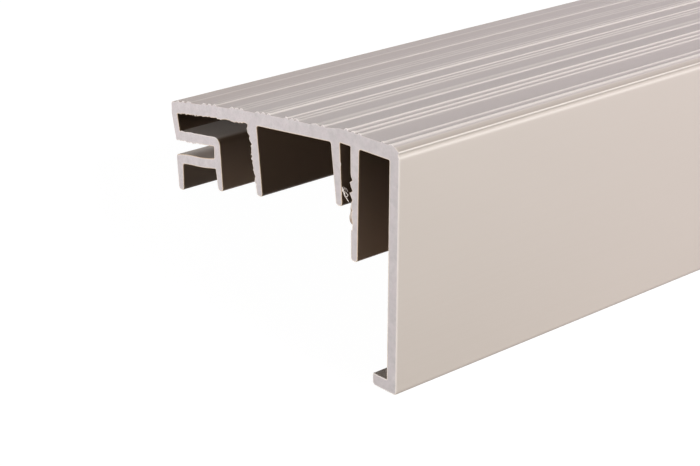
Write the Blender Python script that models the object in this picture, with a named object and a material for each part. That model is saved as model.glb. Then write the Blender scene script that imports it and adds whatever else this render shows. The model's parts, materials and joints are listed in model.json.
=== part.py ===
# Threshold cap: one length of rigid PVC door sill extrusion, all in one piece.
#
# The section is drawn as it is fitted to a sill. Depth runs back from the outer face of the
# front skirt, and height runs up from the skirt's top front corner.
# The finished length then lies as it comes to rest on a level floor, on the heel of the skirt's
# lip and on the tip of the rearmost leg. Its length runs along X and the skirt faces -Y.

from math import atan2, cos, pi, radians, sin, tan

import bmesh
import bpy
from mathutils import Matrix, Vector

MM = 0.001

# Overall sizes
LENGTH = 914.4 * MM
WIDTH = 50.8 * MM
SKIRT_HEIGHT = 35.5 * MM

# Walls
DECK_WALL_FRONT = 2.1 * MM
DECK_WALL_BACK = 1.86 * MM
SKIRT_WALL = 1.9 * MM
LIP_WALL = 1.8 * MM
BACK_WALL = 1.45 * MM
UPPER_SHELF_WALL = 1.5 * MM
LOWER_SHELF_WALL = 1.58 * MM
WEB_WALL = 1.35 * MM

# Deck: a nearly level land behind the nose, a short step down, then a bowed ramp to the back
LAND_HEIGHT = 0.86 * MM
LAND_FALL = 0.24 * MM
LAND_DEPTH = 12.0 * MM
STEP_RUN = 3.1 * MM
STEP_FALL = 0.68 * MM
RAMP_FALL = 4.92 * MM
RAMP_BOW = 0.45 * MM

# Tread ribs on the deck: groups of three, each group placed by its middle rib
RIB_HEIGHT = 0.26 * MM
RIB_WIDTH = 1.0 * MM
RIB_PITCH = 1.35 * MM
RIB_GROUP_DEPTHS = [depth * MM for depth in (9.4, 16.9, 22.3, 28.7, 35.5, 41.6, 48.0)]
NOSE_RIB_DEPTHS = [depth * MM for depth in (1.5, 3.2)]

# Nose: a chamfer from the first rib down to a fine bead, with a groove under it over the skirt
CHAMFER_DEPTH = 1.0 * MM
CHAMFER_FALL = 0.5 * MM
BEAD_SIZE = 0.25 * MM
GROOVE_DEPTH = 0.2 * MM
SKIRT_TOP_ROUND = 0.3 * MM

# Lip turned in at the foot of the skirt
LIP_REACH = 4.8 * MM

# Front legs, from the skirt backwards; a leg's level is its tip's drop below the front corner
FRONT_BAY = 6.05 * MM
LONG_LEG_ROOT = 1.77 * MM
LONG_LEG_TIP = 1.35 * MM
LONG_LEG_LEVEL = 18.05 * MM
SEAL_GAP = 2.2 * MM
SHORT_LEG_ROOT = 1.87 * MM
SHORT_LEG_TIP = 1.27 * MM
SHORT_LEG_LEVEL = 10.7 * MM
SHORT_LEG_LEAN = 0.85 * MM

# Middle leg, placed by its distance in front of the web
REAR_BAY = 6.75 * MM
MIDDLE_LEG_ROOT = 2.12 * MM
MIDDLE_LEG_TIP = 1.27 * MM
MIDDLE_LEG_LEVEL = 14.35 * MM
MIDDLE_LEG_LEAN = 1.6 * MM

# Back end: a chamber over two shelves with a slot between them, the web and the rearmost leg
CORNER_HEIGHT = 1.9 * MM
BACK_TAPER = 0.95 * MM
CHAMBER_HEIGHT = 2.6 * MM
SLOT_DEPTH = 10.5 * MM
SLOT_MOUTH = 2.3 * MM
SLOT_END = 1.88 * MM
SHELF_RISE = 1.45 * MM
SHELF_WAVE = 0.12 * MM
WEB_LEVEL = 16.2 * MM
WEB_LEAN = 0.72 * MM
WEB_TIP = 1.17 * MM
REAR_LEG_ROOT = 1.63 * MM
REAR_LEG_TIP = 1.25 * MM
REAR_LEG_LEVEL = 18.75 * MM
REAR_LEG_LEAN = 0.22 * MM

# Corner rounds
SHARP_ROUND = 0.15 * MM
SOFT_ROUND = 0.4 * MM
TIP_ROUND = 0.5 * MM
WEB_ROUND = 1.2 * MM
HEEL_ROUND = 0.55 * MM
ARC_STEPS = 4
ROUND_SHARE = 0.45

PVC_COLOUR = (0.60, 0.55, 0.50, 1.0)
PVC_ROUGHNESS = 0.42
SMOOTH_ANGLE = radians(28)
WELD_DISTANCE = 0.001 * MM


def between(start, end, share):
    """A value part of the way from start to end."""
    return start + (end - start) * share


def deck(depth):
    """Height of the plain deck surface, without its ribs."""
    land_end = LAND_HEIGHT - LAND_FALL
    step_foot = LAND_DEPTH + STEP_RUN
    if depth <= LAND_DEPTH:
        return between(LAND_HEIGHT, land_end, depth / LAND_DEPTH)
    if depth <= step_foot:
        return land_end - STEP_FALL * (depth - LAND_DEPTH) / STEP_RUN
    along = (depth - step_foot) / (WIDTH - step_foot)
    return land_end - STEP_FALL - RAMP_FALL * along + 4 * RAMP_BOW * along * (1 - along)


def soffit(depth):
    """Height of the deck's underside."""
    return deck(depth) - between(DECK_WALL_FRONT, DECK_WALL_BACK, depth / WIDTH)


def rib_crests():
    """Depth of each rib's crest, leaving out any that would run over the back edge."""
    crests = list(NOSE_RIB_DEPTHS)
    for middle in RIB_GROUP_DEPTHS:
        crests += [middle - RIB_PITCH, middle, middle + RIB_PITCH]
    limit = WIDTH - SOFT_ROUND - RIB_WIDTH / 2
    return [crest for crest in crests if crest < limit]


def tread():
    """The ribbed upper surface, from the chamfer back to the last rib."""
    crests = rib_crests()
    depths = {LAND_DEPTH, LAND_DEPTH + STEP_RUN}
    for crest in crests:
        depths |= {crest + RIB_WIDTH * share for share in (-0.5, -0.25, 0, 0.25, 0.5)}

    def rib_height(depth):
        offsets = [2 * (depth - crest) / RIB_WIDTH for crest in crests]
        return RIB_HEIGHT * max(0, max(1 - offset * offset for offset in offsets))

    last = WIDTH - SOFT_ROUND
    kept = sorted(depth for depth in depths if CHAMFER_DEPTH < depth < last)
    return [(depth, deck(depth) + rib_height(depth), 0) for depth in kept]


def nose():
    """Round over the skirt, groove, bead and chamfer, from the skirt up to the first rib."""
    bead_top = deck(CHAMFER_DEPTH) - CHAMFER_FALL
    bead_base = bead_top - BEAD_SIZE
    return [
        (0, bead_base - GROOVE_DEPTH, SKIRT_TOP_ROUND),
        (GROOVE_DEPTH, bead_base, 0),
        (GROOVE_DEPTH / 2, between(bead_base, bead_top, 0.5), 0),
        (GROOVE_DEPTH, bead_top, 0),
        (CHAMFER_DEPTH, deck(CHAMFER_DEPTH), 0),
    ]


def tip_points(middle, thickness, level):
    """The two rounded corners of a leg's tip, back corner first."""
    return [(middle + side * thickness / 2, -level, TIP_ROUND) for side in (1, -1)]


def leg(front, root, tip, lean, level, back_round, front_round):
    """A tapered leg hung from the deck, from its back face round the tip to its front face."""
    back = front + root
    return [
        (back, soffit(back), back_round),
        *tip_points(front + root / 2 - lean, tip, level),
        (front, soffit(front), front_round),
    ]


def back_end():
    """Back wall, the slot between its two shelves, the rearmost leg, the web and the chamber."""
    foot = WIDTH - BACK_TAPER
    corner_base = deck(WIDTH) - CORNER_HEIGHT
    slot_roof = soffit(WIDTH) - CHAMBER_HEIGHT - UPPER_SHELF_WALL
    slot_floor = slot_roof - SLOT_MOUTH
    web_back = WIDTH - SLOT_DEPTH
    web_front = web_back - WEB_WALL
    shelf_run = foot - web_back
    end_roof = slot_roof + SHELF_RISE
    end_floor = end_roof - SLOT_END

    def chamber_floor(depth):
        return slot_roof + UPPER_SHELF_WALL + SHELF_RISE * (foot - depth) / shelf_run

    def lower_shelf(share):
        """Depth and height of the lower shelf's upper face, a share of the way to the web."""
        wave = SHELF_WAVE * sin(2 * pi * share)
        return between(foot, web_back, share), between(slot_floor, end_floor, share) + wave

    eighths = [step / 8 for step in range(1, 8)]
    upper_face = [(*lower_shelf(share), 0) for share in reversed(eighths)]
    leg_front = foot - REAR_LEG_ROOT
    under_face = [
        (depth, height - LOWER_SHELF_WALL, 0)
        for depth, height in map(lower_shelf, eighths)
        if depth < leg_front - SOFT_ROUND
    ]

    leg_top = lower_shelf(REAR_LEG_ROOT / shelf_run)[1] - LOWER_SHELF_WALL
    leg_tip = foot - REAR_LEG_ROOT / 2 - REAR_LEG_LEAN
    web_tip = web_back - WEB_WALL / 2 - WEB_LEAN

    under_end = end_floor - LOWER_SHELF_WALL
    web_share = (end_floor - under_end) / (end_floor + WEB_LEVEL)
    web_under = between(web_back, web_tip + WEB_TIP / 2, web_share)

    chamber_base = chamber_floor(foot - BACK_WALL)
    taper_share = (corner_base - chamber_base) / (corner_base - slot_roof)
    chamber_back = between(WIDTH, foot, taper_share) - BACK_WALL
    return [
        (WIDTH, deck(WIDTH), SOFT_ROUND),
        (WIDTH, corner_base, 0),
        (foot, slot_roof, SHARP_ROUND),
        (web_back, end_roof, SHARP_ROUND),
        (web_back, end_floor, SHARP_ROUND),
        *upper_face,
        (foot, slot_floor, SOFT_ROUND),
        *tip_points(leg_tip, REAR_LEG_TIP, REAR_LEG_LEVEL),
        (leg_front, leg_top, SOFT_ROUND),
        *under_face,
        (web_under, under_end, SHARP_ROUND),
        *tip_points(web_tip, WEB_TIP, WEB_LEVEL),
        (web_front, chamber_floor(web_front), WEB_ROUND),
        (chamber_back, chamber_base, SHARP_ROUND),
        (WIDTH - BACK_WALL, soffit(WIDTH - BACK_WALL), SHARP_ROUND),
    ]


def middle_leg():
    """The leg in front of the web, leaning forwards."""
    web_front = WIDTH - SLOT_DEPTH - WEB_WALL
    front = web_front - REAR_BAY - MIDDLE_LEG_ROOT
    return leg(front, MIDDLE_LEG_ROOT, MIDDLE_LEG_TIP, MIDDLE_LEG_LEAN, MIDDLE_LEG_LEVEL,
               SHARP_ROUND, SOFT_ROUND)


def front_legs():
    """The short leg and the long leg, with the seal gap between them."""
    long_front = SKIRT_WALL + FRONT_BAY
    short_front = long_front + LONG_LEG_ROOT + SEAL_GAP
    short_leg = leg(short_front, SHORT_LEG_ROOT, SHORT_LEG_TIP, SHORT_LEG_LEAN,
                    SHORT_LEG_LEVEL, SOFT_ROUND, SHARP_ROUND)
    long_leg = leg(long_front, LONG_LEG_ROOT, LONG_LEG_TIP, 0, LONG_LEG_LEVEL,
                   SHARP_ROUND, SOFT_ROUND)
    return short_leg + long_leg


def skirt():
    """Inner face of the skirt, the lip at its foot, and the foot of the outer face."""
    lip_top = LIP_WALL - SKIRT_HEIGHT
    return [
        (SKIRT_WALL, soffit(SKIRT_WALL), SHARP_ROUND),
        (SKIRT_WALL, lip_top, SHARP_ROUND),
        (LIP_REACH, lip_top, SHARP_ROUND),
        (LIP_REACH, -SKIRT_HEIGHT, HEEL_ROUND),
        (0, -SKIRT_HEIGHT, SHARP_ROUND),
    ]


def rounded(corner, before, after, radius):
    """Points of a round at a corner, or the corner itself where its radius is nothing."""
    if radius == 0:
        return [corner]
    arm_in = before - corner
    arm_out = after - corner
    half = arm_in.angle(arm_out) / 2
    room = ROUND_SHARE * min(arm_in.length, arm_out.length)
    reach = min(radius / tan(half), room)
    centre = corner + (arm_in.normalized() + arm_out.normalized()).normalized() * reach / cos(half)
    start = corner + arm_in.normalized() * reach - centre
    sweep = start.angle_signed(corner + arm_out.normalized() * reach - centre)
    return [centre + Matrix.Rotation(-sweep * step / ARC_STEPS, 2) @ start
            for step in range(ARC_STEPS + 1)]


def section():
    """The whole outline as fitted, with its corners rounded, as (depth, height) vectors."""
    corners = nose() + tread() + back_end() + middle_leg() + front_legs() + skirt()
    places = [Vector((depth, height)) for depth, height, radius in corners]
    outline = []
    for index, (depth, height, radius) in enumerate(corners):
        before = places[index - 1]
        after = places[(index + 1) % len(places)]
        outline += rounded(places[index], before, after, radius)
    return outline


def rest_tilt(outline):
    """Angle of the line that the length rests on: the longest straight span under the section."""
    hull = []
    for point in sorted(outline, key=lambda place: place.x):
        while len(hull) > 1 and (hull[-1] - hull[-2]).cross(point - hull[-1]) <= 0:
            hull.pop()
        hull.append(point)
    front, back = max(zip(hull, hull[1:]), key=lambda span: (span[1] - span[0]).length)
    return atan2(back.y - front.y, back.x - front.x)


def laid_down(outline):
    """The section turned to its rest, standing on height 0 with its depth centred on 0."""
    turned = [Matrix.Rotation(-rest_tilt(outline), 2) @ point for point in outline]
    depths = [point.x for point in turned]
    middle = (min(depths) + max(depths)) / 2
    lowest = min(point.y for point in turned)
    return [point - Vector((middle, lowest)) for point in turned]


def extruded(name, outline, length, collection):
    """A closed mesh of the outline, drawn in depth and height, extruded along X about 0."""
    curve = bpy.data.curves.new(name + "_outline", "CURVE")
    curve.dimensions = "2D"
    curve.fill_mode = "BOTH"
    curve.extrude = length / 2
    spline = curve.splines.new("POLY")
    spline.points.add(len(outline) - 1)
    for point, place in zip(spline.points, outline):
        point.co = (place.x, place.y, 0, 1)
    spline.use_cyclic_u = True
    guide = bpy.data.objects.new(name + "_outline", curve)
    collection.objects.link(guide)
    bpy.context.view_layer.update()

    depsgraph = bpy.context.evaluated_depsgraph_get()
    mesh = bpy.data.meshes.new_from_object(guide.evaluated_get(depsgraph))
    bpy.data.objects.remove(guide)
    shape = bmesh.new()
    shape.from_mesh(mesh)
    bmesh.ops.remove_doubles(shape, verts=shape.verts, dist=WELD_DISTANCE)
    bmesh.ops.recalc_face_normals(shape, faces=shape.faces)
    shape.to_mesh(mesh)
    shape.free()
    mesh.name = name
    mesh.shade_smooth()
    mesh.set_sharp_from_angle(angle=SMOOTH_ANGLE)

    piece = bpy.data.objects.new(name, mesh)
    piece.rotation_euler = (pi / 2, 0, pi / 2)
    collection.objects.link(piece)
    return piece


def pvc():
    """Beige rigid PVC with a low sheen."""
    material = bpy.data.materials.new("beige_pvc")
    material.use_nodes = True
    shader = material.node_tree.nodes["Principled BSDF"]
    shader.inputs["Base Color"].default_value = PVC_COLOUR
    shader.inputs["Roughness"].default_value = PVC_ROUGHNESS
    shader.inputs["Metallic"].default_value = 0.0
    return material


def main():
    for item in list(bpy.data.objects):
        bpy.data.objects.remove(item)
    collection = bpy.data.collections.new("threshold_cap")
    bpy.context.scene.collection.children.link(collection)
    cap = extruded("cap_extrusion", laid_down(section()), LENGTH, collection)
    cap.data.materials.append(pvc())


main()
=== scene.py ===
# Looks of the threshold cap: a ribbed sill extrusion in beige rigid PVC, freshly sawn at both ends.
#
# The shapes are worked out in millimetres along three directions of the cap as it is fitted:
# along, from the near sawn end; depth, back from the skirt's outer face; and height, up from the
# skirt's foot. The frame says how these directions lie on the floor.

import json
from dataclasses import dataclass
from math import ceil, cos, exp, pi, radians, sin, sqrt
from random import Random

import bmesh
import bpy
from mathutils import Matrix, Vector
from mathutils.geometry import delaunay_2d_cdt


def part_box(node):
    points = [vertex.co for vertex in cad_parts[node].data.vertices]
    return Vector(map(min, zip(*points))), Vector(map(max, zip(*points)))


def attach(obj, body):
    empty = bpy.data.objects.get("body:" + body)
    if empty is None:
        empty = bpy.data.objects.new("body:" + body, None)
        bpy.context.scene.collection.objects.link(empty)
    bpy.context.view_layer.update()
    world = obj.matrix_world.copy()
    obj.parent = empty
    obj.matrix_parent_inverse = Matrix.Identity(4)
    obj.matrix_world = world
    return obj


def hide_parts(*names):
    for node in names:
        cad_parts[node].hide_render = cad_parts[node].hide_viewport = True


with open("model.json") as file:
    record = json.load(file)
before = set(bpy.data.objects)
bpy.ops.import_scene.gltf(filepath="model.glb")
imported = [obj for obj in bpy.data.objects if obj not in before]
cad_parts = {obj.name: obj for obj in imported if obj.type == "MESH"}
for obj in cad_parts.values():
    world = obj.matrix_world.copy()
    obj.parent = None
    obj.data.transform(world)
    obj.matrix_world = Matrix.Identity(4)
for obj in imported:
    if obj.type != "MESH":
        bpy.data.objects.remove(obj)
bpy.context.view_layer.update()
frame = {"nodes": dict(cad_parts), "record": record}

MM = 0.001
NODE = "cap_extrusion"
RANDOM_SEED = 4

# Reading and refining the section
WELD_DISTANCE = 1e-6
SMOOTH_TURN = radians(2)
SHARP_TURN = radians(32)
CURVED_STEP = 0.9
FINE_STEP = 0.12
REFINEMENTS = 2
INSIDE_ONLY = 1
CLOSE_POINTS = 1e-5
STRAIGHT_STEP = 1.0

# Deck: a nearly level land behind the nose, a short step down, then a bowed ramp to the back
LAND_HEIGHT = 36.36
LAND_FALL = 0.24
LAND_DEPTH = 12.0
STEP_RUN = 3.1
STEP_FALL = 0.68
RAMP_FALL = 4.92
RAMP_BOW = 0.45
DECK_DEPTH = 50.8
DECK_EDGE = 50.4

# Tread ribs, front to back: depth of the crest, the height that wear has left, half the width and
# how pale it is painted, partly for wear and partly as a painted highlight
RIBS = (
    (1.7, 0.22, 0.66, 0.85), (3.3, 0.17, 0.42, 0.7),
    (7.9, 0.17, 0.42, 0.65), (9.2, 0.19, 0.42, 0.72), (10.65, 0.2, 0.42, 0.75),
    (15.5, 0.2, 0.46, 0.85), (17.05, 0.09, 0.95, 0.5),
    (20.95, 0.13, 0.42, 0.65), (22.05, 0.15, 0.42, 0.65), (23.35, 0.18, 0.44, 0.8),
    (27.3, 0.22, 0.5, 1.0), (28.55, 0.14, 0.45, 0.7), (29.85, 0.07, 0.55, 0.45),
    (33.5, 0.08, 0.5, 0.45), (34.65, 0.06, 0.55, 0.4), (35.8, 0.07, 0.55, 0.45),
    (40.0, 0.15, 0.5, 0.8), (41.2, 0.05, 0.6, 0.3), (42.5, 0.04, 0.6, 0.15),
    (46.3, 0.07, 0.7, 0.4), (47.8, 0.03, 0.4, 0.1), (49.1, 0.03, 0.4, 0.1),
)
RIB_STEPS = 8

# Nose, from the first rib down to the fascia: chamfer, fine bead, groove and a soft round. Each
# point is a depth, a height, how far a painted highlight makes it pale and how far painted shade
# darkens it.
NOSE = (
    (0.75, 36.175, 0, 0.16), (0.5, 36.03, 0, 0.2), (0.32, 35.925, 0, 0.34), (0.22, 35.87, 0, 0.34),
    (0.12, 35.81, 0.55, 0), (0.085, 35.75, 0.55, 0), (0.09, 35.68, 0.5, 0), (0.13, 35.6, 0.15, 0),
    (0.2, 35.5, 0, 0.1), (0.24, 35.4, 0, 0.1), (0.245, 35.31, 0, 0.12), (0.22, 35.2, 0, 0.1),
    (0.165, 35.08, 0, 0.05), (0.1, 34.96, 0.15, 0), (0.05, 34.84, 0.13, 0), (0.022, 34.72, 0.04, 0),
    (0.008, 34.6, 0, 0), (0.002, 34.48, 0, 0), (0.0, 34.3, 0, 0),
)
FINE_NOSE = 34.8
NOSE_SHADE = 0.8

# The fascia's foot turns softly under, down to the lip's heel. Each point is a depth, a height and
# how far painted shade darkens it.
FOOT = (
    (0.0, 0.7, 0.0), (0.0, 0.42, 0.12), (0.03, 0.27, 0.3), (0.1, 0.14, 0.35), (0.21, 0.05, 0.35),
    (0.34, 0.01, 0.3), (0.5, 0.0, 0.3),
)
LIP_HEEL = (4.25, 0.0)

# Inner faces run from the skirt's inner foot round to the lower corner of the back wall. Those that
# lie deeper than BACK_FACES belong to the outside.
INNER_START = (1.9, 1.8)
INNER_END = (49.86, 24.64)
BACK_FACES = 49.6

# Painted shade. The fascia is painted a little darker towards its foot and the near end a little
# darker overall; near the end the deck is warmer and darker towards its back; painted shade inside
# fades out.
FASCIA_FACE = 0.5
NEAR_SHADE_LENGTH = 100.0
SHADE_FADE_FROM = 200.0
SHADE_FADE_TO = 500.0
DECK_BACK_FROM = (0, 30.0, 34.0)
DECK_BACK_TO = (0, 50.0, 31.0)

# Painted light on the lip's top and the upper shelf's top: least and greatest depth, least and
# greatest height, and how pale they are painted
LIP_TOP = (1.95, 4.7, 1.75, 1.85)
LIP_PAINTED_LIGHT = 0.3
SHELF_TOP = (39.5, 48.7, 26.25, 27.6)
SHELF_PAINTED_LIGHT = 0.3

# Painted shade on the faces inside: for each bay, the depth that it ends at, and heights with
# shades
BAY_SHADES = (
    (8.9, ((2.0, 0.0), (18.0, 0.28), (34.2, 0.8))),
    (13.1, ((17.0, 0.66), (34.2, 0.66))),
    (32.2, ((21.0, 0.7), (34.2, 0.72))),
    (39.1, ((19.0, 0.25), (25.0, 0.42), (27.0, 0.7), (31.6, 1.0))),
    (50.0, ((16.7, 0.65), (22.0, 0.65), (23.0, 0.4), (25.9, 0.4), (26.2, 0.72), (27.6, 0.62),
            (28.7, 0.97), (31.6, 1.0))),
)

# Sawn ends: the mesh's rings along the cap and a narrow rim on the sawn face
END_STEPS = (0, 0.012, 0.04, 0.075, 0.12, 0.2, 0.32, 0.5, 0.8, 1.3)
BODY_STEP = 50.0
SAWN_RIM = 0.15
RIM_CLEARANCE = 0.8

# A slight round on every sawn edge, and its pale rim: partly saw whitening, partly painted
# highlight
EDGE_ROUND = 0.11
INNER_EDGE_ROUND = 0.06
RIB_EDGE_ROUND = 0.05
NOSE_EDGE_ROUND = 0.03
PALE_EDGE = 0.45
PALE_INNER_EDGE = 0.75
PALE_DECK_EDGE = 0.15
PALE_REACH = 0.25

# How far burrs and tears reach along the cap, the teeth on worn ribs, and the whiskers on some
BURR_REACH = 0.22
TEAR_REACH = 0.5
TOOTH = 0.27
FUZZ_SHARE = 0.7
FUZZ = 0.12
FUZZ_START = 5.0

# Torn edges: a spot on the edge, the direction that its places are measured in, how ragged the edge
# is between them, and how far it stands out of the plain shape (a burr) or into it (a tear) at each
DEPTH, HEIGHT = 0, 1
LONG_LEG_TEARS = (
    (30.6, 0.0), (30.0, -0.05), (29.3, -0.36), (28.9, 0.22), (27.75, -0.38), (27.35, 0.26),
    (26.45, -0.32), (25.9, -0.05), (25.2, -0.1), (24.9, -0.35), (24.6, -0.12), (23.4, -0.25),
    (22.8, -0.32), (22.0, -0.26), (21.85, 0.0), (21.5, 0.0),
)
MIDDLE_LEG_TEARS = (
    (31.2, 0.08), (30.6, 0.2), (30.4, 0.28), (30.2, 0.12), (29.6, 0.0), (28.9, -0.2), (28.2, -0.19),
    (27.9, -0.12), (27.65, 0.0), (27.4, -0.06), (26.7, 0.12), (26.25, -0.06), (25.4, 0.03),
    (25.1, -0.02), (24.85, 0.24), (24.7, 0.02), (23.4, 0.05), (22.5, 0.0),
)
DECK_UNDERSIDE_TEARS = (
    (48.6, 0.0), (45.0, -0.08), (41.5, -0.17), (39.8, -0.2), (38.2, -0.1), (36.8, -0.14),
    (35.9, 0.02), (35.3, 0.1), (34.6, -0.05), (34.15, 0.11), (33.85, -0.1), (33.4, 0.02),
    (33.0, -0.12), (32.7, -0.1),
)
SHELF_TOP_TEARS = ((48.5, 0.05), (47.4, -0.05), (46.1, 0.06), (44.2, 0.0))
SHELF_UNDERSIDE_TEARS = (
    (49.3, 0.0), (48.6, 0.06), (47.5, -0.05), (46.8, 0.09), (46.0, 0.0), (45.2, 0.08),
    (44.5, -0.03), (43.5, 0.0),
)
SHORT_LEG_TEARS = ((31.4, 0.0), (31.05, 0.14), (30.7, 0.02), (28.4, 0.0))
TORN_EDGES = (
    ((9.6, 27.0), HEIGHT, 0.07, LONG_LEG_TEARS),
    ((31.2, 26.0), HEIGHT, 0.26, MIDDLE_LEG_TEARS),
    ((36.0, 31.0), DEPTH, 0.15, DECK_UNDERSIDE_TEARS),
    ((45.0, 27.5), DEPTH, 0.06, SHELF_TOP_TEARS),
    ((46.0, 25.1), DEPTH, 0.13, SHELF_UNDERSIDE_TEARS),
    ((11.9, 30.0), HEIGHT, 0.03, SHORT_LEG_TEARS),
)
ROUGH_STEP = 0.26
EDGE_MARGIN = 0.01
FAR_END_TEARS = 0.16
FAR_END_BURRS = 0.08

# Loose curls that hang from the short leg at the near end: half the width, how pale the strip is,
# how far painted shade browns it, and the places that it passes (along, depth, height)
SHAVINGS = (
    (0.15, 0.3, 0.0, ((0.13, 11.72, 27.72), (0.16, 11.42, 27.5), (0.18, 11.28, 27.16),
                      (0.2, 11.13, 26.88), (0.2, 11.05, 26.63), (0.2, 10.92, 26.41))),
    (0.1, 0.2, 0.1, ((0.2, 10.98, 26.5), (0.22, 10.7, 26.24), (0.25, 10.46, 26.0),
                     (0.3, 10.28, 25.8))),
    (0.13, 0.25, 0.0, ((0.13, 11.75, 26.9), (0.13, 11.55, 27.1), (0.15, 11.44, 27.4))),
    (0.08, 0.1, 0.15, ((0.2, 11.33, 27.13), (0.3, 11.19, 27.14), (0.35, 10.92, 26.96),
                       (0.35, 10.59, 26.79), (0.3, 10.56, 26.6), (0.25, 10.73, 26.47),
                       (0.2, 10.92, 26.41))),
    (0.05, 0.0, 0.3, ((0.3, 11.5, 27.68), (0.32, 11.21, 27.65), (0.35, 10.99, 27.57),
                      (0.38, 10.78, 27.39), (0.4, 10.7, 27.16))),
    (0.07, 0.1, 0.3, ((0.3, 11.45, 27.55), (0.32, 11.2, 27.45), (0.35, 11.05, 27.25))),
)
PATH_STEPS = 6
STRIP_SIDES = 8
STRIP_FLATNESS = 0.5
TIP = 0.35

# A flake of the long leg's back face that still clings to the near end: its outline as depth,
# height and how far painted shade browns it
FLAKE = (
    (9.3, 25.75, 0.0), (9.6, 25.66, 0.3), (9.68, 25.2, 0.5), (9.68, 24.75, 0.1), (9.78, 24.4, 0.2),
    (9.92, 24.0, 0.3), (9.92, 23.6, 0.4), (9.82, 23.25, 1.0), (9.7, 23.02, 1.0), (9.5, 22.85, 1.0),
    (9.3, 22.8, 0.6), (9.3, 23.6, 0.7), (9.42, 24.2, 0.3), (9.42, 24.75, 0.7), (9.36, 25.1, 1.0),
    (9.3, 25.4, 0.3),
)
# Each ring of the flake: its distance from the end, and how far its outline is drawn in
FLAKE_RINGS = ((0.03, 0.05), (0.07, 0.0), (0.3, 0.02), (0.5, 0.08))
TORN_SHADE = 0.65

# Camera: its place, its direction as the cap is fitted, and its focal length in photo pixels
CAMERA_PLACE = (-153.2, -162.6, 114.75)
CAMERA_AZIMUTH = radians(41.64)
CAMERA_ELEVATION = radians(22.03)
CAMERA_ROLL = radians(0.24)
FOCAL_PIXELS = 1800
PHOTO_WIDTH = 700
SENSOR_WIDTH = 36.0
NEAR_CLIP = 0.01

# Lamps: name, direction towards the lamp, level, spread, colour, and whether gloss mirrors it
LAMPS = (
    ("skirt_lamp", (0.45, -0.88, 0.13), 0.45, radians(30), (1, 0.99, 0.98), True),
    ("nose_lamp", (0.62, -0.6, 0.5), 0.84, radians(20), (1, 1, 1), True),
    ("deck_lamp", (0.2, 0.85, 0.5), 0.16, radians(40), (1, 1, 1), True),
    ("end_lamp", (-0.99, 0.0, 0.09), 1.03, radians(8), (0.99, 0.99, 1), False),
)
LAMP_DISTANCE = 3.0
FILL_COLOUR = (1, 0.82, 0.70, 1)
FILL_LEVEL = 0.055
WHITE = (1, 1, 1, 1)

# Floor: its size in metres, the paint that sends light back to the cap, and, as the camera sees
# it, a white glow with a colour that keeps the shadow
FLOOR_SIZE = 12.0
FLOOR_PAINT = (0.37, 0.37, 0.37, 1)
FLOOR_ROUGHNESS = 0.9
FLOOR_GLOW = 0.985
FLOOR_SHADOW = (0.07, 0.07, 0.07, 1)

# Noises: millimetres that one unit measures along the cap and across it, detail and roughness
DRAW_LINES = (120, 0.3, 2, 0.5)
CLOUDS = (60, 30, 2, 0.5)
SKIN_GRAIN = (0.5, 0.5, 2, 0.5)
MOTTLE = (1.1, 1.1, 5, 0.6)
TINT = (0.9, 1.7, 2, 0.5)
SAWN_GRAIN = (0.3, 0.3, 3, 0.6)

# How a noise sets the share of a colour: the noise's range, then the share at each end of it
EVEN_SHARES = (0.3, 0.7, 0, 1)
STREAK_SHARES = (0.35, 0.65, 0.05, 0.6)
TINT_SHARES = (0.4, 0.65, 0, 0.5)
GRAIN_SHARES = (0.3, 0.5, 0.5, 0)

# Specks: millimetres between them and their radius; how much of one is its full core, and which
# cells have one
SKIN_SPECKS = (14, 0.22)
SAWN_PITS = (1.5, 0.1)
SPECK_CORE = 0.6
SPECK_CHOICE = (0.5, 0.51, 0, 1)

# Colours of the extruded skin. A tint darkens the colour under it.
SKIN_DARK = (0.626, 0.548, 0.508, 1)
SKIN_LIGHT = (0.646, 0.566, 0.526, 1)
# Painted shade towards the fascia's foot
FASCIA_FOOT_SHADE = (0.888, 0.878, 0.863, 1)
# The tread's tone: partly its own, partly painted sheen
TREAD_TONE_AND_SHEEN = (0.645, 0.563, 0.567, 1)
STREAK = (0.665, 0.590, 0.572, 1)
# Painted shade near the sawn end
NEAR_END_SHADE = (0.888, 0.910, 0.892, 1)
DECK_BACK_TINT = (0.94, 0.89, 0.86, 1)
# Painted shade inside, from its lightest to its deepest
LIGHT_PAINTED_SHADE = (0.68, 0.50, 0.37, 1)
DEEP_PAINTED_SHADE = (0.034, 0.016, 0.004, 1)
# Pale for wear and painted highlights, on the skin and under painted shade
PALE_WEAR_AND_HIGHLIGHT = (0.93, 0.865, 0.82, 1)
PALE_WEAR_AND_HIGHLIGHT_IN_SHADE = (0.62, 0.47, 0.31, 1)
SPECK = (0.35, 0.30, 0.26, 1)
SPECULAR = 0.3

# The skin's streaks, roughness and bump, each on the fascia and on the tread
SKIN_STREAKS = (0.1, 1)
SKIN_ROUGHNESS = (0.43, 0.57)
SKIN_BUMP = (0.12, 0.4)
SKIN_BUMP_HEIGHT = 0.01

# Colours of the sawn face
SAWN_DARK = (0.472, 0.439, 0.437, 1)
SAWN_LIGHT = (0.600, 0.551, 0.549, 1)
SAWN_TINT = (0.568, 0.504, 0.512, 1)
# Painted shade on the sawn face towards the skirt
SKIRT_SHADE = (0.805, 0.805, 0.80, 1)
SAWN_HOLLOW = (0.42, 0.38, 0.365, 1)
SAWN_PIT = (0.30, 0.26, 0.24, 1)
# The pale sawn rim: partly saw whitening, partly painted highlight
SAWN_EDGE = (0.72, 0.66, 0.62, 1)
SAWN_INNER_EDGE = (0.80, 0.68, 0.55, 1)
SAWN_ROUGHNESS = 0.7
SAWN_BUMP = 0.5
SAWN_BUMP_HEIGHT = 0.02

# What each point of the section carries to the materials: how far it is pale, for wear and painted
# highlights; on the tread; under painted shade; low on the fascia; and how deep its painted shade
# is
TONES = ("crest", "tread", "inner", "foot", "shade")


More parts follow.
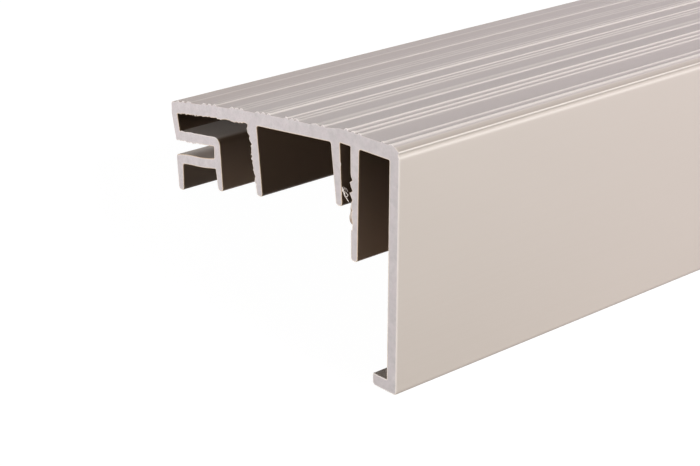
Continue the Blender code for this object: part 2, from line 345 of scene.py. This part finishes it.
def section_matrix():
    """Matrix from (along, depth, height) in millimetres to the frame."""
    mounts = frame["record"]["mounts"]
    back = -Vector(next(mount["axis"] for mount in mounts if mount["name"] == "skirt_face"))
    back.normalize()
    side = Vector((1, 0, 0))
    up = side.cross(back)
    corners = [vertex.co for vertex in frame["nodes"][NODE].data.vertices]
    origin = sum((axis * min(corner.dot(axis) for corner in corners) for axis in (side, back, up)),
                 Vector())
    axes = Matrix((side, back, up)).transposed().to_4x4()
    return Matrix.Translation(origin) @ axes @ Matrix.Scale(MM, 4)


TO_FRAME = section_matrix()
LENGTH = (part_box(NODE)[1].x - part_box(NODE)[0].x) / MM


@dataclass
class RimPoint:
    """A point of the section, with its tones and with what happens to it at the two sawn ends."""
    place: Vector
    crest: float = 0.0
    tread: float = 0.0
    inner: float = 0.0
    foot: float = 0.0
    shade: float = 0.0
    pale_and_highlight: float = PALE_EDGE
    edge: float = EDGE_ROUND
    near: float = 0.0
    far: float = 0.0


def end_outline():
    """The section's points in order, anticlockwise, read from the CAD mesh's near end."""
    shape = bmesh.new()
    shape.from_mesh(frame["nodes"][NODE].data)
    bmesh.ops.remove_doubles(shape, verts=shape.verts, dist=WELD_DISTANCE)
    near = min(vertex.co.x for vertex in shape.verts) + WELD_DISTANCE
    end_faces = {face for face in shape.faces if all(vertex.co.x < near for vertex in face.verts)}
    neighbours = {}
    for edge in shape.edges:
        if sum(face in end_faces for face in edge.link_faces) == 1:
            for vertex in edge.verts:
                neighbours.setdefault(vertex, []).append(edge.other_vert(vertex))
    start = max(neighbours, key=lambda vertex: vertex.co.z)
    walk = [start, neighbours[start][0]]
    while walk[-1] != start:
        walk.append(next(vertex for vertex in neighbours[walk[-1]] if vertex != walk[-2]))
    from_frame = TO_FRAME.inverted()
    outline = [(from_frame @ vertex.co).yz for vertex in walk[:-1]]
    shape.free()
    area = sum(a.cross(b) for a, b in zip(outline, outline[1:] + outline[:1]))
    return outline if area > 0 else outline[::-1]


def turn(before, here, after):
    """Angle by which the outline turns at a point, positive where the PVC bulges."""
    return (after - here).angle_signed(here - before, 0)


def turns(places):
    """Angle by which a closed outline turns at each of its points."""
    return [turn(places[index - 1], place, places[(index + 1) % len(places)])
            for index, place in enumerate(places)]


def nearest(rim, spot):
    """Index of the rim's point nearest to a spot."""
    return min(range(len(rim)), key=lambda index: (rim[index].place - Vector(spot)).length)


def deck(depth):
    """Height of the deck between its ribs."""
    land_end = LAND_HEIGHT - LAND_FALL
    step_foot = LAND_DEPTH + STEP_RUN
    if depth <= LAND_DEPTH:
        return LAND_HEIGHT - LAND_FALL * depth / LAND_DEPTH
    if depth <= step_foot:
        return land_end - STEP_FALL * (depth - LAND_DEPTH) / STEP_RUN
    share = (depth - step_foot) / (DECK_DEPTH - step_foot)
    return land_end - STEP_FALL - RAMP_FALL * share + 4 * RAMP_BOW * share * (1 - share)


def rib_points(crest, height, half, pale):
    """A worn rib: rounded on top, running softly out at both feet, with a tooth at each end."""
    points = []
    for step in range(RIB_STEPS + 1):
        offset = 2 * step / RIB_STEPS - 1
        share = (1 + cos(pi * offset)) / 2
        depth = crest + half * offset
        place = Vector((depth, deck(depth) + height * share))
        tooth = share * max(0, TOOTH - height)
        pale_and_highlight = PALE_DECK_EDGE + (1 - PALE_DECK_EDGE) * share
        # Pale crest: partly wear, partly painted highlight
        points.append(RimPoint(place, crest=share * pale, tread=1, pale_and_highlight=pale_and_highlight, edge=RIB_EDGE_ROUND,
                               near=tooth, far=tooth))
    return points


def tread():
    """The deck's points from the back edge forwards, with its worn ribs."""
    points = []
    for rib in RIBS:
        points += rib_points(*rib)
    for depth in (LAND_DEPTH, LAND_DEPTH + STEP_RUN):
        if all(abs(depth - crest) > half for crest, _, half, _ in RIBS):
            points.append(RimPoint(Vector((depth, deck(depth))), tread=1, pale_and_highlight=PALE_DECK_EDGE,
                                   edge=RIB_EDGE_ROUND))
    return sorted(points, key=lambda spot: -spot.place.x)


def nose():
    """The nose's points, with a smaller edge round where its shapes are fine."""
    # Painted highlight and painted shade on the nose
    return [RimPoint(Vector((depth, height)), crest=pale, inner=shade_paint, shade=NOSE_SHADE,
                     edge=EDGE_ROUND if height < FINE_NOSE else NOSE_EDGE_ROUND)
            for depth, height, pale, shade_paint in NOSE]


def foot():
    """The points of the fascia's foot."""
    # Painted shade on the foot's round
    return [RimPoint(Vector((depth, height)), inner=shade_paint, shade=NOSE_SHADE)
            for depth, height, shade_paint in FOOT]


def with_finished_top(rim):
    """The rim from the back edge round, with the finished deck, nose and foot in place."""
    back = max(range(len(rim)), key=lambda index: rim[index].place.x)
    rim = rim[back:] + rim[:back]
    first = next(index for index, spot in enumerate(rim) if spot.place.x < DECK_EDGE)
    last = nearest(rim, LIP_HEEL)
    return rim[:first] + tread() + nose() + foot() + rim[last:]


def bay_shade(depth, height):
    """How deep the painted shade is on a face inside the bay at this depth and height."""
    levels = next(levels for end, levels in BAY_SHADES if depth < end)
    for (low, first), (high, last) in zip(levels, levels[1:]):
        if height < high:
            return first + (last - first) * max(0, height - low) / (high - low)
    return levels[-1][1]


def is_within(spot, limits):
    """Whether a point lies between two depths and two heights."""
    low_depth, high_depth, low_height, high_height = limits
    return low_depth < spot.place.x < high_depth and low_height < spot.place.y < high_height


def mark_tones(rim):
    """Marks the painted shade inside, the height on the fascia, and painted light on the lip's and
    upper shelf's tops.
    """
    for spot in rim[nearest(rim, INNER_START):nearest(rim, INNER_END)]:
        # Painted shade on the faces inside
        spot.inner = float(spot.place.x < BACK_FACES)
        spot.shade = bay_shade(*spot.place)
        spot.edge = INNER_EDGE_ROUND
        spot.pale_and_highlight = PALE_INNER_EDGE
    for spot in rim:
        depth, height = spot.place
        spot.foot = max(0, 1 - height / LAND_HEIGHT) if depth < FASCIA_FACE else 0.0
        # Painted light on the lip's top and the upper shelf's top
        if is_within(spot, LIP_TOP):
            spot.crest = LIP_PAINTED_LIGHT
        if is_within(spot, SHELF_TOP):
            spot.inner = 0.0
            spot.crest = SHELF_PAINTED_LIGHT


def between(first, second, share, place):
    """A rim point between two others, with their tones shared out."""
    names = (*TONES, "pale_and_highlight", "edge", "near", "far")
    values = [getattr(first, name) * (1 - share) + getattr(second, name) * share for name in names]
    return RimPoint(place, *values)


def refined(rim):
    """The rim with a point added halfway along each short curved stretch."""
    angles = [abs(angle) for angle in turns([spot.place for spot in rim])]
    curved = [SMOOTH_TURN < angle < SHARP_TURN for angle in angles]
    count = len(rim)
    finer = []
    for index, spot in enumerate(rim):
        finer.append(spot)
        after = rim[(index + 1) % count]
        start, end = spot.place, after.place
        step = (end - start).length
        starts_curved, ends_curved = curved[index], curved[(index + 1) % count]
        if not FINE_STEP < step < CURVED_STEP or not (starts_curved or ends_curved):
            continue
        lead = start + (rim[index - 1].place - start).normalized() * step
        trail = end + (rim[(index + 2) % count].place - end).normalized() * step
        if not starts_curved:
            lead = 3 * start - 3 * end + trail
        if not ends_curved:
            trail = 3 * end - 3 * start + lead
        # The smooth curve's middle is nine sixteenths of each end less a sixteenth of each beyond.
        middle = (9 * (start + end) - lead - trail) / 16
        finer.append(between(spot, after, 0.5, middle))
    return finer


def nearest_edge(rim, spot):
    """Index of the point that starts the rim's edge nearest to a spot."""
    def distance(index):
        start = rim[index].place
        run = rim[(index + 1) % len(rim)].place - start
        share = min(1, max(0, (spot - start).dot(run) / run.length_squared))
        return (start + run * share - spot).length
    return min(range(len(rim)), key=distance)


def tear(rim, spot, axis, ragged, tears, random):
    """Adds the points of a torn stretch to the straight edge nearest to a spot."""
    index = nearest_edge(rim, Vector(spot))
    first, last = rim[index], rim[(index + 1) % len(rim)]
    start, end = first.place, last.place
    added = []
    for (place, push), (next_place, next_push) in zip(tears, tears[1:]):
        steps = max(1, round(abs(next_place - place) / ROUGH_STEP))
        for step in range(steps):
            share = step / steps
            rough = random.uniform(-1, 1) * ragged if step else 0
            added.append((place + (next_place - place) * share,
                          push + (next_push - push) * share + rough))
    added.append(tears[-1])
    spots = []
    for place, push in added:
        share = (place - start[axis]) / (end[axis] - start[axis])
        if EDGE_MARGIN < share < 1 - EDGE_MARGIN:
            point = between(first, last, share, start.lerp(end, share))
            point.near = push
            point.far = random.uniform(-FAR_END_TEARS, FAR_END_BURRS)
            spots.append((share, point))
    spots.sort(key=lambda item: item[0])
    rim[index + 1:index + 1] = [spot for share, spot in spots]


def with_even_steps(rim):
    """The rim with points added along its long straight stretches."""
    finer = []
    for index, spot in enumerate(rim):
        after = rim[(index + 1) % len(rim)]
        steps = ceil((after.place - spot.place).length / STRAIGHT_STEP)
        for step in range(steps):
            share = step / steps
            finer.append(between(spot, after, share, spot.place.lerp(after.place, share)))
    return finer


def fuzz(rim, random):
    """Small whiskers that the saw leaves on the ribs' ends."""
    for spot in rim:
        on_rib = spot.tread and spot.pale_and_highlight > PALE_DECK_EDGE
        if on_rib and spot.place.x > FUZZ_START and random.random() < FUZZ_SHARE:
            spot.near += random.uniform(0, FUZZ)
            spot.far += random.uniform(0, FUZZ)


def cap_rim():
    """The finished section, with its worn ribs and its torn edges."""
    random = Random(RANDOM_SEED)
    rim = with_finished_top([RimPoint(place) for place in end_outline()])
    mark_tones(rim)
    for _ in range(REFINEMENTS):
        rim = refined(rim)
    fuzz(rim, random)
    for edge in TORN_EDGES:
        tear(rim, *edge, random)
    return with_even_steps(rim)


def outward(rim):
    """Direction out of the PVC at each point of the rim."""
    directions = []
    for index, spot in enumerate(rim):
        before = (spot.place - rim[index - 1].place).normalized()
        after = (rim[(index + 1) % len(rim)].place - spot.place).normalized()
        run = (before + after).normalized()
        directions.append(Vector((run.y, -run.x)))
    return directions


def end_shift(spot, distance, push):
    """How far a point stands out of the plain section, at a distance from a sawn end."""
    inside = max(0, spot.edge - distance)
    inset = spot.edge - sqrt(spot.edge ** 2 - inside ** 2)
    fade = exp(-distance / BURR_REACH) if push > 0 else exp(-(distance / TEAR_REACH) ** 2)
    return push * fade - inset


def ring_places():
    """Distances along the cap of the mesh's rings, closer together near the sawn ends."""
    ends = list(END_STEPS)
    count = round((LENGTH - 2 * ends[-1]) / BODY_STEP)
    step = (LENGTH - 2 * ends[-1]) / count
    body = [ends[-1] + step * index for index in range(1, count)]
    return ends + body + [LENGTH - distance for distance in reversed(ends)]


def inside_triangles(outline, spots=()):
    """Triangles that fill a closed outline through some spots inside it, as indices of both."""
    loop = list(range(len(outline)))
    made = delaunay_2d_cdt([*outline, *spots], [], [loop], INSIDE_ONLY, CLOSE_POINTS)
    faces, sources = made[2], made[3]
    return [[sources[corner][0] for corner in face] for face in faces]


def rim_spots(outline):
    """Spots a little inside an outline, clear of all of it."""
    spots = []
    for index, place in enumerate(outline):
        run = (outline[(index + 1) % len(outline)] - outline[index - 1]).normalized()
        spot = place + Vector((-run.y, run.x)) * SAWN_RIM
        if min((spot - other).length for other in outline) > RIM_CLEARANCE * SAWN_RIM:
            spots.append(spot)
    return spots


def saw_through(shape, end_ring):
    """Fills a sawn end, with its edge's tones kept to a narrow rim."""
    outline = [vertex.co.yz for vertex in end_ring]
    spots = rim_spots(outline)
    along = end_ring[0].co.x
    corners = end_ring + [shape.verts.new((along, *spot)) for spot in spots]
    for triangle in inside_triangles(outline, spots):
        sawn = shape.faces.new([corners[index] for index in triangle])
        sawn.material_index = 1
        for edge in sawn.edges:
            edge.smooth = False
    for vertex in corners[len(outline):]:
        if not vertex.link_faces:
            shape.verts.remove(vertex)


def cap_mesh(rim):
    """The whole length, ring by ring, with flat sawn ends."""
    shape = bmesh.new()
    layers = {tone: shape.verts.layers.float.new(tone) for tone in TONES}
    directions = outward(rim)
    count = len(rim)
    rings = []
    for along in ring_places():
        distance = min(along, LENGTH - along)
        by_the_saw = max(0, 1 - distance / PALE_REACH)
        ring = []
        for spot, direction in zip(rim, directions):
            shift = end_shift(spot, distance, spot.near if along < LENGTH / 2 else spot.far)
            depth, height = spot.place + direction * shift
            vertex = shape.verts.new((along, depth, height))
            for tone, layer in layers.items():
                vertex[layer] = getattr(spot, tone)
            # The sawn rim is painted pale: partly saw whitening, partly painted highlight
            vertex[layers["crest"]] = max(spot.crest, spot.pale_and_highlight * by_the_saw)
            ring.append(vertex)
        rings.append(ring)
    angles = turns([spot.place for spot in rim])
    for near_ring, far_ring in zip(rings, rings[1:]):
        for index in range(count):
            after = (index + 1) % count
            face = shape.faces.new((near_ring[index], far_ring[index],
                                    far_ring[after], near_ring[after]))
            face.smooth = True
            if abs(angles[index]) > SHARP_TURN:
                shape.edges.get((near_ring[index], far_ring[index])).smooth = False
    for end_ring in (rings[0], rings[-1]):
        saw_through(shape, end_ring)
    return finished_mesh(shape, "cap")


def finished_mesh(shape, name):
    """The shape as a mesh in the frame, with its faces turned outwards."""
    bmesh.ops.recalc_face_normals(shape, faces=shape.faces)
    shape.transform(TO_FRAME)
    mesh = bpy.data.meshes.new(name)
    shape.to_mesh(mesh)
    shape.free()
    return mesh


def smooth_path(places):
    """Points of a smooth curve through the places."""
    places = [Vector(place) for place in places]
    before = [2 * places[0] - places[1]] + places
    after = places + [2 * places[-1] - places[-2]]
    path = []
    for index in range(len(places) - 1):
        first, start, end, last = before[index], places[index], places[index + 1], after[index + 2]
        for step in range(PATH_STEPS):
            share = step / PATH_STEPS
            path.append(0.5 * (2 * start + (end - first) * share
                               + (2 * first - 5 * start + 4 * end - last) * share ** 2
                               + (3 * start - first - 3 * end + last) * share ** 3))
    return path + [places[-1]]


def bridge(shape, rings):
    """Joins closed rings of points, one after the other, with smooth faces."""
    for ring, next_ring in zip(rings, rings[1:]):
        for index in range(len(ring)):
            after = (index + 1) % len(ring)
            face = shape.faces.new((ring[index], next_ring[index], next_ring[after], ring[after]))
            face.smooth = True


def shaving_mesh(half_width, pale, shade_brown, places):
    """A flattened strip along a smooth path, thinner at its tips."""
    shape = bmesh.new()
    layers = {tone: shape.verts.layers.float.new(tone) for tone in TONES}
    path = smooth_path(places)
    rings = []
    for index, place in enumerate(path):
        run = (path[min(index + 1, len(path) - 1)] - path[max(index - 1, 0)]).normalized()
        side = run.cross(Vector((1, 0, 0))).normalized()
        rise = side.cross(run) * STRIP_FLATNESS
        share = index / (len(path) - 1)
        radius = half_width * max(TIP, sqrt(1 - (2 * share - 1) ** 4))
        ring = []
        for step in range(STRIP_SIDES):
            angle = 2 * pi * step / STRIP_SIDES
            vertex = shape.verts.new(place + (side * cos(angle) + rise * sin(angle)) * radius)
            vertex[layers["crest"]] = pale
            # Painted shade on the strip
            vertex[layers["inner"]] = shade_brown
            vertex[layers["shade"]] = TORN_SHADE
            ring.append(vertex)
        rings.append(ring)
    bridge(shape, rings)
    shape.faces.new(rings[0])
    shape.faces.new(rings[-1])
    return finished_mesh(shape, "shaving")


def flake_mesh():
    """The clinging flake: a small slab with a rounded front."""
    shape = bmesh.new()
    layers = {tone: shape.verts.layers.float.new(tone) for tone in TONES}
    outline = [Vector(point[:2]) for point in FLAKE]
    middle = sum(outline, Vector((0, 0))) / len(outline)
    rings = []
    for along, inset in FLAKE_RINGS:
        ring = []
        for place, (_, _, shade_brown) in zip(outline, FLAKE):
            spot = place + (middle - place).normalized() * inset
            vertex = shape.verts.new((along, spot.x, spot.y))
            # Painted shade on the flake
            vertex[layers["inner"]] = shade_brown
            vertex[layers["shade"]] = TORN_SHADE
            ring.append(vertex)
        rings.append(ring)
    bridge(shape, rings)
    for ring in (rings[0], rings[-1]):
        for corners in inside_triangles([vertex.co.yz for vertex in ring]):
            shape.faces.new([ring[corner] for corner in corners])
    return finished_mesh(shape, "flake")


def node(tree, kind, inputs=(), **settings):
    """Adds a shader node, sets its properties, and fills or links its inputs."""
    made = tree.nodes.new(kind)
    for name, value in settings.items():
        setattr(made, name, value)
    for name, value in dict(inputs).items():
        if isinstance(value, bpy.types.NodeSocket):
            tree.links.new(value, made.inputs[name])
        else:
            made.inputs[name].default_value = value
    return made


def mix_colour(tree, share, first, second, blend="MIX"):
    """Two colours mixed or multiplied by a share."""
    made = node(tree, "ShaderNodeMix", data_type="RGBA", blend_type=blend)
    for index, value in ((0, share), (6, first), (7, second)):
        if isinstance(value, bpy.types.NodeSocket):
            tree.links.new(value, made.inputs[index])
        else:
            made.inputs[index].default_value = value
    return made.outputs[2]


def remap(tree, value, low, high, new_low, new_high):
    """The value brought from one range to another, held inside it."""
    made = node(tree, "ShaderNodeMapRange", {
        "Value": value, "From Min": low, "From Max": high, "To Min": new_low, "To Max": new_high})
    return made.outputs["Result"]


def texture_space(tree, along, across):
    """Object coordinates scaled so that one unit is this many millimetres."""
    place = node(tree, "ShaderNodeTexCoord")
    scale = (1 / (along * MM), 1 / (across * MM), 1 / (across * MM))
    made = node(tree, "ShaderNodeMapping", {"Vector": place.outputs["Object"], "Scale": scale})
    return made.outputs["Vector"]


def noise(tree, along, across, detail, roughness):
    """Soft random patches of a size given in millimetres along the cap and across it."""
    made = node(tree, "ShaderNodeTexNoise", {
        "Vector": texture_space(tree, along, across), "Scale": 1.0,
        "Detail": detail, "Roughness": roughness})
    return made.outputs["Fac"]


def new_material(name):
    """A material with its node tree and its main shader."""
    material = bpy.data.materials.new(name)
    material.use_nodes = True
    tree = material.node_tree
    return material, tree, tree.nodes["Principled BSDF"]


def tone(tree, name):
    """How far one of the rim's tones holds at a place."""
    return node(tree, "ShaderNodeAttribute", attribute_name=name).outputs["Fac"]


def product(tree, first, second):
    """Two values multiplied."""
    return node(tree, "ShaderNodeMath", {0: first, 1: second}, operation="MULTIPLY").outputs[0]


def specks(tree, spacing, radius):
    """1 in a few tiny spots, about this many millimetres apart and of this radius."""
    cells = node(tree, "ShaderNodeTexVoronoi", {
        "Vector": texture_space(tree, spacing, spacing), "Scale": 1.0})
    size = radius / spacing
    spot = remap(tree, cells.outputs["Distance"], SPECK_CORE * size, size, 1, 0)
    split = node(tree, "ShaderNodeSeparateColor", {"Color": cells.outputs["Color"]})
    chosen = remap(tree, split.outputs[0], *SPECK_CHOICE)
    return product(tree, spot, chosen)


def place_along(tree, axis):
    """A coordinate of the place that is shaded, in the frame."""
    place = node(tree, "ShaderNodeTexCoord")
    split = node(tree, "ShaderNodeSeparateXYZ", {"Vector": place.outputs["Object"]})
    return split.outputs[axis]


def along_from_near_end(tree, start, end):
    """1 as far as one distance from the near end, falling to 0 at another, in millimetres."""
    near_end = (TO_FRAME @ Vector()).x
    return remap(tree, place_along(tree, "X"), near_end + start * MM, near_end + end * MM, 1, 0)


def skin_colour(tree, lines):
    """Plain beige on the fascia, streaked on the tread, with painted shade inside, low on the
    fascia and near the end, and pale for wear and painted highlights.
    """
    on_tread = tone(tree, "tread")
    clouds = noise(tree, *CLOUDS)
    colour = mix_colour(tree, remap(tree, clouds, *EVEN_SHARES), SKIN_DARK, SKIN_LIGHT)
    # Painted shade towards the fascia's foot
    colour = mix_colour(tree, tone(tree, "foot"), colour, FASCIA_FOOT_SHADE, "MULTIPLY")
    # The tread's tone: partly its own, partly painted sheen
    colour = mix_colour(tree, on_tread, colour, TREAD_TONE_AND_SHEEN)
    streaks = product(tree, remap(tree, lines, *STREAK_SHARES),
                      remap(tree, on_tread, 0, 1, *SKIN_STREAKS))
    colour = mix_colour(tree, streaks, colour, STREAK)
    # Painted shade near the sawn end
    near_shade = along_from_near_end(tree, 0, NEAR_SHADE_LENGTH)
    colour = mix_colour(tree, near_shade, colour, NEAR_END_SHADE, "MULTIPLY")
    # Warmer and a little darker towards the back of the deck near the end
    deck_back_from = (TO_FRAME @ Vector(DECK_BACK_FROM)).y
    deck_back_to = (TO_FRAME @ Vector(DECK_BACK_TO)).y
    deck_back = product(tree, near_shade,
                    remap(tree, place_along(tree, "Y"), deck_back_from, deck_back_to, 0, 1))
    colour = mix_colour(tree, deck_back, colour, DECK_BACK_TINT, "MULTIPLY")
    # Painted shade inside, fading out along the length
    shade_fade = along_from_near_end(tree, SHADE_FADE_FROM, SHADE_FADE_TO)
    shade_paint = mix_colour(tree, tone(tree, "shade"), LIGHT_PAINTED_SHADE, DEEP_PAINTED_SHADE)
    colour = mix_colour(tree, product(tree, tone(tree, "inner"), shade_fade), colour, shade_paint)
    # Pale for wear and painted highlights
    pale_and_highlight = mix_colour(tree, tone(tree, "inner"), PALE_WEAR_AND_HIGHLIGHT, PALE_WEAR_AND_HIGHLIGHT_IN_SHADE)
    colour = mix_colour(tree, tone(tree, "crest"), colour, pale_and_highlight)
    return mix_colour(tree, specks(tree, *SKIN_SPECKS), colour, SPECK)


def extruded_skin():
    """PVC as it leaves the die: plain and even on the fascia, with fine draw lines on the tread."""
    material, tree, shader = new_material("extruded_pvc")
    lines = noise(tree, *DRAW_LINES)
    grain = noise(tree, *SKIN_GRAIN)
    on_tread = tone(tree, "tread")
    tree.links.new(skin_colour(tree, lines), shader.inputs["Base Color"])
    tree.links.new(remap(tree, on_tread, 0, 1, *SKIN_ROUGHNESS), shader.inputs["Roughness"])
    shader.inputs["Specular IOR Level"].default_value = SPECULAR
    height = node(tree, "ShaderNodeMath", {0: lines, 1: grain}, operation="ADD").outputs[0]
    bump = node(tree, "ShaderNodeBump", {"Height": height, "Distance": SKIN_BUMP_HEIGHT * MM})
    tree.links.new(remap(tree, on_tread, 0, 1, *SKIN_BUMP), bump.inputs["Strength"])
    tree.links.new(bump.outputs["Normal"], shader.inputs["Normal"])
    return material


def sawn_colour(tree, grain):
    """Mottled, with small pits, with painted shade towards the skirt, and a pale rim of saw
    whitening and painted highlight.
    """
    mottle = noise(tree, *MOTTLE)
    tint = noise(tree, *TINT)
    front = (TO_FRAME @ Vector()).y
    back = (TO_FRAME @ Vector((0, DECK_DEPTH, 0))).y
    towards_skirt = remap(tree, place_along(tree, "Y"), front, back, 1, 0)
    colour = mix_colour(tree, remap(tree, mottle, *EVEN_SHARES), SAWN_DARK, SAWN_LIGHT)
    colour = mix_colour(tree, remap(tree, tint, *TINT_SHARES), colour, SAWN_TINT)
    # Painted shade towards the skirt
    colour = mix_colour(tree, towards_skirt, colour, SKIRT_SHADE, "MULTIPLY")
    colour = mix_colour(tree, remap(tree, grain, *GRAIN_SHARES), colour, SAWN_HOLLOW)
    colour = mix_colour(tree, specks(tree, *SAWN_PITS), colour, SAWN_PIT)
    # The pale sawn rim: partly saw whitening, partly painted highlight
    edge = mix_colour(tree, tone(tree, "inner"), SAWN_EDGE, SAWN_INNER_EDGE)
    return mix_colour(tree, tone(tree, "crest"), colour, edge)


def sawn_face():
    """Freshly sawn PVC: paler than the skin and matt."""
    material, tree, shader = new_material("sawn_pvc")
    grain = noise(tree, *SAWN_GRAIN)
    tree.links.new(sawn_colour(tree, grain), shader.inputs["Base Color"])
    shader.inputs["Roughness"].default_value = SAWN_ROUGHNESS
    shader.inputs["Specular IOR Level"].default_value = SPECULAR
    bump = node(tree, "ShaderNodeBump", {
        "Height": grain, "Strength": SAWN_BUMP, "Distance": SAWN_BUMP_HEIGHT * MM})
    tree.links.new(bump.outputs["Normal"], shader.inputs["Normal"])
    return material


def show(name, mesh, *materials):
    """Links a piece of the cap, with its materials, and lets it ride on the part."""
    piece = bpy.data.objects.new(name, mesh)
    bpy.context.scene.collection.objects.link(piece)
    for material in materials:
        mesh.materials.append(material)
    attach(piece, "root")
    return piece


def add_floor():
    """A plain floor that looks white and keeps the cap's shadow faintly."""
    mesh = bpy.data.meshes.new("floor")
    half = FLOOR_SIZE / 2
    shape = bmesh.new()
    corners = ((-half, -half), (half, -half), (half, half), (-half, half))
    shape.faces.new([shape.verts.new((x, y, 0)) for x, y in corners])
    shape.to_mesh(mesh)
    shape.free()
    floor = bpy.data.objects.new("floor", mesh)
    bpy.context.scene.collection.objects.link(floor)

    material, tree, shader = new_material("floor_paint")
    shader.inputs["Base Color"].default_value = FLOOR_PAINT
    shader.inputs["Roughness"].default_value = FLOOR_ROUGHNESS
    glow = node(tree, "ShaderNodeEmission", {"Color": WHITE, "Strength": FLOOR_GLOW})
    shadow = node(tree, "ShaderNodeBsdfDiffuse", {"Color": FLOOR_SHADOW})
    bright = node(tree, "ShaderNodeAddShader", {0: glow.outputs[0], 1: shadow.outputs[0]})
    mixed = node(tree, "ShaderNodeMixShader", {
        0: seen_directly(tree), 1: shader.outputs[0], 2: bright.outputs[0]})
    tree.links.new(mixed.outputs[0], tree.nodes["Material Output"].inputs["Surface"])
    mesh.materials.append(material)


def seen_directly(tree):
    """1 where the camera sees a surface, straight or mirrored, and 0 where it lights others."""
    path = node(tree, "ShaderNodeLightPath")
    mirrored = node(tree, "ShaderNodeMath", operation="MAXIMUM", inputs={
        0: path.outputs["Is Glossy Ray"], 1: path.outputs["Is Transmission Ray"]})
    return node(tree, "ShaderNodeMath", operation="MAXIMUM", inputs={
        0: path.outputs["Is Camera Ray"], 1: mirrored.outputs[0]}).outputs[0]


def add_world():
    """A weak even light from all round, with a white background."""
    world = bpy.data.worlds.new("studio")
    world.use_nodes = True
    tree = world.node_tree
    fill = tree.nodes["Background"]
    fill.inputs["Color"].default_value = FILL_COLOUR
    fill.inputs["Strength"].default_value = FILL_LEVEL
    white = node(tree, "ShaderNodeBackground", {"Color": WHITE, "Strength": 1.0})
    mixed = node(tree, "ShaderNodeMixShader", {
        0: seen_directly(tree), 1: fill.outputs[0], 2: white.outputs[0]})
    tree.links.new(mixed.outputs[0], tree.nodes["World Output"].inputs["Surface"])
    bpy.context.scene.world = world


def add_lamp(name, towards, level, spread, colour, in_gloss):
    """A soft lamp far away in a direction, bright enough to show a colour at this level."""
    lamp = bpy.data.lights.new(name, "SUN")
    lamp.energy = level * pi
    lamp.angle = spread
    lamp.color = colour
    holder = bpy.data.objects.new(name, lamp)
    direction = (TO_FRAME.to_3x3() @ Vector(towards)).normalized()
    holder.rotation_euler = direction.to_track_quat("Z", "Y").to_euler()
    holder.location = direction * LAMP_DISTANCE
    holder.visible_glossy = in_gloss
    bpy.context.scene.collection.objects.link(holder)


def add_camera():
    """The photo's view: its direction is set as the cap is fitted, then turned with the cap."""
    lens = bpy.data.cameras.new("photo_view")
    lens.sensor_width = SENSOR_WIDTH
    lens.lens = FOCAL_PIXELS / PHOTO_WIDTH * SENSOR_WIDTH
    lens.clip_start = NEAR_CLIP
    camera = bpy.data.objects.new("photo_view", lens)
    look = (Matrix.Rotation(-CAMERA_AZIMUTH, 3, "Z")
            @ Matrix.Rotation(pi / 2 - CAMERA_ELEVATION, 3, "X")
            @ Matrix.Rotation(CAMERA_ROLL, 3, "Z"))
    turned = TO_FRAME.to_3x3().normalized() @ look
    camera.matrix_world = Matrix.Translation(TO_FRAME @ Vector(CAMERA_PLACE)) @ turned.to_4x4()
    bpy.context.scene.collection.objects.link(camera)
    bpy.context.scene.camera = camera


def main():
    """Builds the studio and the cap."""
    bpy.context.scene.view_settings.view_transform = "Standard"
    add_camera()
    add_world()
    for lamp in LAMPS:
        add_lamp(*lamp)
    add_floor()
    skin = extruded_skin()
    cap = show("cap", cap_mesh(cap_rim()), skin, sawn_face())
    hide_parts(NODE)
    for number, shaving in enumerate(SHAVINGS, 1):
        show(f"shaving_{number}", shaving_mesh(*shaving), skin)
    show("flake", flake_mesh(), skin)


main()
